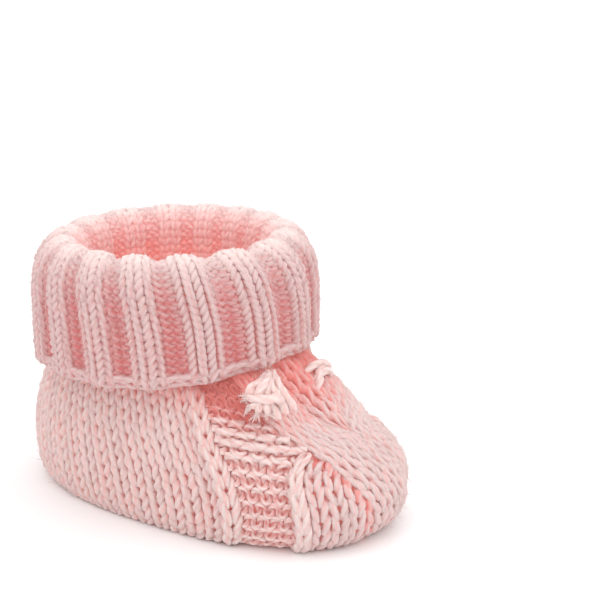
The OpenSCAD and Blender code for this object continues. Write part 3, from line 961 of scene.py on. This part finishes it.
def shell_of(name, outer, inner, nodes):
    """A thin shell between two grids of points, each closed round to its first column."""
    n, m = outer.shape[:2]
    cells = np.arange(n * m).reshape(n, m)
    cells = np.concatenate([cells, cells[:, :1]], 1)
    a, b, c, d = cells[:-1, :-1], cells[:-1, 1:], cells[1:, 1:], cells[1:, :-1]
    outside = np.stack([a, b, c, d], -1).reshape(-1, 4)
    inside = np.stack([d, c, b, a], -1).reshape(-1, 4) + n * m
    rims = []
    for rim, flip in ((cells[0], 1), (cells[-1], -1)):
        quad = np.stack([rim[1:], rim[:-1], rim[:-1] + n * m, rim[1:] + n * m], -1)
        rims.append(quad[:, ::flip])
    mesh = bpy.data.meshes.new(name)
    points = np.concatenate([outer.reshape(-1, 3), inner.reshape(-1, 3)])
    mesh.from_pydata(points.tolist(), [], np.concatenate([outside, inside, *rims]).tolist())
    # The sheet is painted in the deep salmon of shade, and its finish gives it a painted glow.
    for label, value in (("proud", SHEET_PROUD), ("hollow", SHEET_HOLLOW)):
        values = np.full(len(points), value, np.float32)
        mesh.attributes.new(label, "FLOAT", "POINT").data.foreach_set("value", values)
    mesh.shade_smooth()
    mesh.materials.append(SHADE_SHEET)
    piece = bpy.data.objects.new(name, mesh)
    bpy.context.scene.collection.objects.link(piece)
    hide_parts(*nodes)
    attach(piece, "root")
    print(f"{name}: {len(mesh.polygons)} faces")


FOOT_NODES = ("right_heel_panel", "left_heel_panel", "right_purl_panel", "left_purl_panel",
              "right_toe_panel", "crossing_rope", "centre_rope", "far_rope", "sole")
phi = np.linspace(-180, 180, 241)[:-1][None, :]
heights = np.linspace(0.04, 1, 60)[:, None]
wall = [skin(phi, heights) - outward(phi, heights) * depth * MM
        for depth in (SHEET_DEPTH, SHEET_DEPTH + SHEET_THICK)]
centre = np.array([SOLE_MIDDLE * MM, 0, 0])
floors = []
for points, height in zip(wall, SHEET_FLOOR):
    ring = points[0]
    ring[:, 2] = height * MM
    inner_rings = [centre * (1 - f) + ring * f for f in (0.02, 0.35, 0.7, 0.93)]
    for r in inner_rings:
        r[:, 2] = height * MM
    floors.append(np.concatenate([np.array(inner_rings), points]))
shell_of("foot_shade_sheet", floors[0], floors[1], FOOT_NODES)

rib_shell = [rib_surface(0, RIB_ROWS, -RIB_SHEET_SHORT, offset)[0][:, :-1]
             for offset in RIB_SHEET]
shell_of("rib_shade_sheet", rib_shell[0], rib_shell[1], ("leg_tube", "turned_cuff"))

# %% [markdown]
# ## The tied ends of the cable
# Where the ropes start, the yarn's ends are tied on the outside, in a knot with frayed tips
# at the near rope and a small looped one at the far rope. These are plain strands, not
# stitches. So a second, smaller tree sweeps the same yarn along any line, and each strand
# is led through a few spots over the skin.

# %% Build the strand tree
KNOT_FUZZ = FUZZ * 4     # a knot is handled more, so its yarn is fuzzier


def strand_tree():
    """The tree that turns the edges of a guide into yarn."""
    tree = bpy.data.node_groups.new("strands", "GeometryNodeTree")
    tree.interface.new_socket("Guide", in_out="INPUT", socket_type="NodeSocketGeometry")
    tree.interface.new_socket("Sides", in_out="INPUT", socket_type="NodeSocketInt")
    tree.interface.new_socket("Finish", in_out="INPUT", socket_type="NodeSocketMaterial")
    tree.interface.new_socket("Yarn", in_out="OUTPUT", socket_type="NodeSocketGeometry")
    g = Graph(tree)
    given = tree.nodes.new("NodeGroupInput")
    read = {s.name: Wire(g, s) for s in given.outputs if s.name}
    lines = g.add("GeometryNodeMeshToCurve", {}, read["Guide"])
    thick = g.add("GeometryNodeInputNamedAttribute", {"data_type": "FLOAT"}, "thick")
    yarn = sweep_yarn(g, lines, thick, read["Sides"])
    yarn = fuzz_over(g, yarn, KNOT_FUZZ, read["Finish"])
    yarn = g.add("GeometryNodeSetShadeSmooth", {}, yarn)
    yarn = g.add("GeometryNodeRealizeInstances", {}, yarn)
    yarn = g.add("GeometryNodeSetMaterial", {}, yarn, Material=read["Finish"])
    last = tree.nodes.new("NodeGroupOutput")
    tree.links.new(yarn.socket, last.inputs[0])
    return tree


STRANDS = strand_tree()


def lay_strands(name, strands, sides, node):
    """strands: for each, an array of points in metres and of radii in metres."""
    points, radii, edges = [], [], []
    for line_points, line_radii in strands:
        start = len(points)
        points.extend(line_points.tolist())
        radii.extend(line_radii.tolist())
        edges.extend((start + i, start + i + 1) for i in range(len(line_points) - 1))
    mesh = bpy.data.meshes.new(name + "_guide")
    mesh.from_pydata(points, edges, [])
    for label, values in (("thick", radii), ("proud", [0.45] * len(points)),
                          ("hollow", [0.0] * len(points))):
        mesh.attributes.new(label, "FLOAT", "POINT").data.foreach_set("value", values)
    return stand_for(run_tree(name, mesh, STRANDS, {"Sides": sides, "Finish": KNOT}), node)


STEPS_PER_SPOT = 7


def over_skin(thick, thin, *spots):
    """A smooth strand through spots of (angle, height, lift in mm), from thick to thin in mm."""
    spots = np.array(spots, float)
    out = outward(spots[:, 0], spots[:, 1])
    places = skin(spots[:, 0], spots[:, 1]) + out * spots[:, 2:] * MM
    t = np.linspace(0, 1, STEPS_PER_SPOT * (len(spots) - 1) + 1)
    return smooth_line(places, t), (thick + (thin - thick) * t ** 3) * MM / 2


def fray(strand, count, length, spread, dice):
    """Loose fibres that leave the end of a strand in its own direction, bending apart."""
    tip, before = strand[0][-1], strand[0][-4]
    ahead = (tip - before) / np.linalg.norm(tip - before)
    fibres = []
    t = np.linspace(0, 1, 6)[:, None]
    for _ in range(count):
        aside = dice.normal(size=3)
        aside -= ahead * aside.dot(ahead)
        reach = length * dice.uniform(0.5, 1.0) * MM
        path = tip - ahead * 0.8 * MM + (ahead * t + aside * spread * t ** 1.7) * reach
        path = path + dice.normal(size=3) * 0.25 * MM
        fibres.append((path, (0.34 - 0.22 * t[:, 0]) * MM))
    return fibres


print("the strand tree has", len(STRANDS.nodes), "nodes")

# %% [markdown]
# ## Tying the knots
# At the near rope five strands rise side by side, meet, and dive under the cuff. Four short
# ends come out of them sideways and fray into loose fibres. The far knot is three
# low loops side by side. Every strand is written as the spots that a finger would push it
# to: the angle round the foot, the height, and how far it stands off the skin. The far
# knot is tied some 8 mm nearer the middle of the instep than in the CAD part.

# %% Tie the knots
dice = np.random.default_rng(7)
bundle = [
    over_skin(2.1, 1.6, (-17, .815, -1.6), (-19.5, .85, 1.4), (-21, .88, 2.9),
              (-18.5, .91, 2.6), (-13.5, .94, 1.2)),
    over_skin(2.2, 1.6, (-22.5, .81, -1.6), (-25, .845, 1.6), (-26, .87, 3.4),
              (-24, .9, 3.2), (-16.5, .94, 1.4)),
    over_skin(2.2, 1.6, (-28, .80, -1.6), (-30.5, .83, 1.6), (-31.5, .855, 3.6),
              (-26.5, .895, 3.5), (-19.5, .93, 1.8)),
    over_skin(2.3, 1.6, (-34, .85, 2.2), (-37, .865, 3.0), (-34.5, .89, 3.6),
              (-29.5, .9, 3.7), (-20.5, .93, 2.0)),
    over_skin(2.1, 1.5, (-30.5, .85, 2.2), (-35.5, .855, 4.2), (-32.5, .875, 4.8),
              (-27, .9, 4.3), (-19.5, .93, 2.2)),
]
ends = [
    over_skin(2.2, 1.2, (-24, .855, 1.8), (-30, .84, 5.2), (-35, .835, 6.0),
              (-38.5, .845, 5.2), (-40, .855, 4.6)),
    over_skin(2.1, 1.1, (-30.5, .865, 2.6), (-36.5, .84, 4.4), (-38.5, .82, 3.8),
              (-39.5, .808, 3.2)),
    over_skin(2.0, 1.1, (-29.5, .86, 2.6), (-35, .83, 4.4), (-35.5, .815, 3.6),
              (-35.5, .81, 2.6)),
    over_skin(1.8, 1.0, (-33.5, .855, 2.6), (-39, .83, 4.2), (-41, .826, 4.0)),
]
lay_strands("near_knot", bundle + ends, 9, "right_knot")
FIBRES_PER_END, FRAY_LENGTH, FRAY_SPREAD = 14, 2.6, 0.45
fibres = []
for strand in ends:
    fibres += fray(strand, FIBRES_PER_END, FRAY_LENGTH, FRAY_SPREAD, dice)
lay_strands("near_knot_fray", fibres, 5, "right_knot")
loop = [
    over_skin(1.8, 1.7, (7, .92, -1.6), (11.5, .915, 0.9), (16, .91, 2.1), (22, .895, 2.3),
              (28, .875, 1.1), (27, .855, -1.6)),
    over_skin(1.8, 1.7, (8, .89, -1.6), (12, .89, 1.1), (17, .885, 2.2), (23, .87, 1.3),
              (29, .85, -1.6)),
    over_skin(1.8, 1.5, (4, .865, -1.6), (9, .88, 0.9), (14, .895, 1.5), (20, .89, 1.4),
              (28, .86, -1.4)),
]
lay_strands("far_knot", loop, 9, "left_knot")

# %% [markdown]
# ## The stage
# A plain pale floor, a bright even sky, and one very soft light from above and in front, as
# in a product studio. The sky fills the gaps between the stitches, and the soft light gives
# them their form.

# %% Floor and lights
bpy.ops.mesh.primitive_plane_add(size=6, location=(0, 0, 0))
floor = bpy.context.object
floor.name = "floor"
floor_finish = bpy.data.materials.new("floor_paper")
floor_finish.use_nodes = True
paper = floor_finish.node_tree.nodes["Principled BSDF"]
paper.inputs["Base Color"].default_value = (0.95, 0.95, 0.95, 1)
paper.inputs["Roughness"].default_value = 0.9
floor.data.materials.append(floor_finish)

world = bpy.data.worlds.new("studio")
bpy.context.scene.world = world
world.use_nodes = True
sky = world.node_tree.nodes["Background"]
sky.inputs["Color"].default_value = (1, 1, 1, 1)
sky.inputs["Strength"].default_value = 1.0


def aim(thing, place, target):
    """Puts a light or a camera in its place and points it at the target."""
    thing.location = place
    direction = mathutils.Vector(target) - mathutils.Vector(place)
    thing.rotation_euler = direction.to_track_quat("-Z", "Y").to_euler()


SUN_PLACE, SUN_STRENGTH, SUN_SPREAD = (0.25, -0.2, 0.75), 1.1, 80
sun_data = bpy.data.lights.new("soft_sky_light", "SUN")
sun_data.energy, sun_data.angle = SUN_STRENGTH, math.radians(SUN_SPREAD)
sun = bpy.data.objects.new("soft_sky_light", sun_data)
bpy.context.scene.collection.objects.link(sun)
aim(sun, SUN_PLACE, (0, 0, 0))
print("the light's disc is", SUN_SPREAD, "degrees wide")

# %% [markdown]
# ## The camera
# The camera looks down a little from the front right of the bootie. It stands a forearm
# off with a long lens, so that the small shoe isn't drawn out of shape, and it is turned to
# look at a spot just in front of the leg.

# %% Place the camera
CAMERA_PLACE = (0.2111, -0.2709, 0.1474)
CAMERA_TARGET = (0.0135, 0.0168, 0.0478)
camera_data = bpy.data.cameras.new("camera")
camera_data.lens, camera_data.sensor_width = 89.75, 36
camera = bpy.data.objects.new("camera", camera_data)
bpy.context.scene.collection.objects.link(camera)
aim(camera, CAMERA_PLACE, CAMERA_TARGET)
bpy.context.scene.camera = camera
bpy.context.scene.view_settings.view_transform = "Standard"
distance = (mathutils.Vector(CAMERA_PLACE) - mathutils.Vector(CAMERA_TARGET)).length
print("the camera is", round(distance / MM), "mm away")
